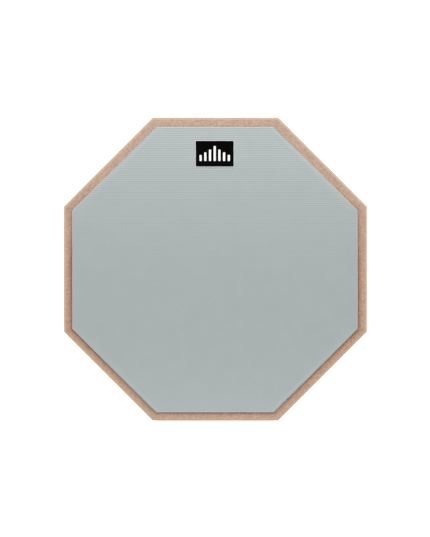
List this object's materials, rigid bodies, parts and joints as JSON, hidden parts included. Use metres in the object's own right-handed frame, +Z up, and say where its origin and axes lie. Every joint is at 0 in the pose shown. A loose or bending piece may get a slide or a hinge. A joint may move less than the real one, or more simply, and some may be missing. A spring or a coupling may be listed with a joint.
{
  "type": "drum practice pad",
  "caption": "Flat octagonal drum practice pad: fluted grey rubber face glued to a chamfered MDF board, foam underside, and a small raised badge near one edge.",
  "frame": {"origin": "middle of the bounding box's base, on the underside of the foam pad that the object lies on", "axes": "+Z up out of the playing face, +Y from the middle of the pad towards the badge, +X to the right as seen from above with the badge at the far edge"},
  "size_m": [0.3048, 0.3048, 0.0222],
  "materials": {
    "raw_mdf": "matte",
    "grey_rubber": "matte",
    "black_eva_foam": "matte",
    "clear_adhesive": "satin",
    "pale_vinyl": "satin",
    "black_pvc": "satin",
    "white_pvc": "satin"
  },
  "bodies": {
    "root": {"baseboard": "raw_mdf", "playing_surface": "grey_rubber", "top_adhesive": "clear_adhesive", "underside_pad": "black_eva_foam", "bottom_adhesive": "clear_adhesive", "badge_carrier": "pale_vinyl", "badge_plate": "black_pvc", "badge_bar_1": "white_pvc", "badge_bar_2": "white_pvc", "badge_bar_3": "white_pvc", "badge_bar_4": "white_pvc", "badge_bar_5": "white_pvc", "badge_bar_6": "white_pvc", "badge_bar_7": "white_pvc"}
  },
  "joints": []
}
